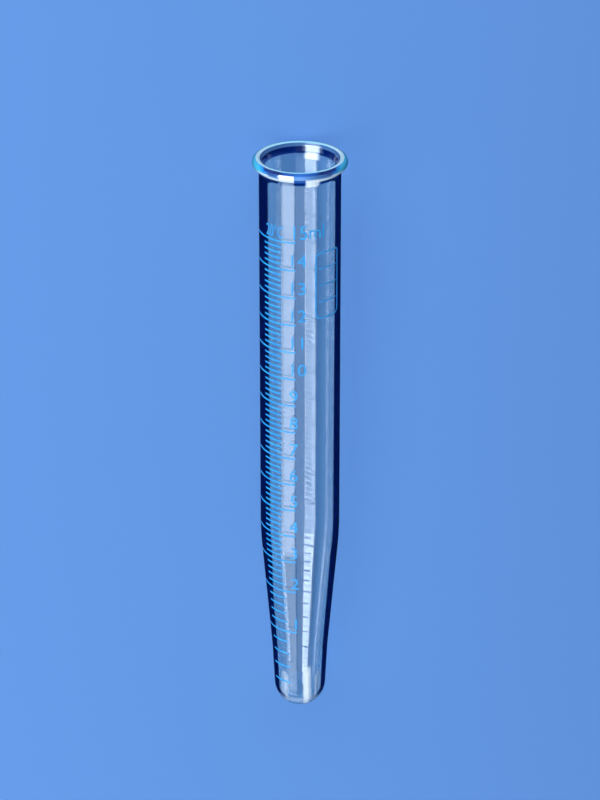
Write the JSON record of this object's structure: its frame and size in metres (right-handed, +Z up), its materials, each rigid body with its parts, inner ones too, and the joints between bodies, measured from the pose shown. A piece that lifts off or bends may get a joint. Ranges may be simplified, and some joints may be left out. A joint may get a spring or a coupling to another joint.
{
  "type": "graduated conical glass centrifuge tube",
  "caption": "Clear glass centrifuge tube with a beaded mouth, straight body, slender cone and round tip, graduated to 15 ml in blue enamel.",
  "frame": {"origin": "centre of the bounding box in plan, on the surface that the tube lies on", "axes": "+X from the round tip towards the mouth, +Z up from the surface, +Y completes the right hand; the tube's own axis rises by 0.95 degrees towards the mouth"},
  "size_m": [0.1286, 0.0194, 0.0195],
  "materials": {
    "clear_glass": "clear, fire-polished",
    "blue_enamel": "fired enamel, glossy"
  },
  "bodies": {
    "root": {"glass_tube": "clear_glass", "printed_scale": "blue_enamel"}
  },
  "joints": []
}
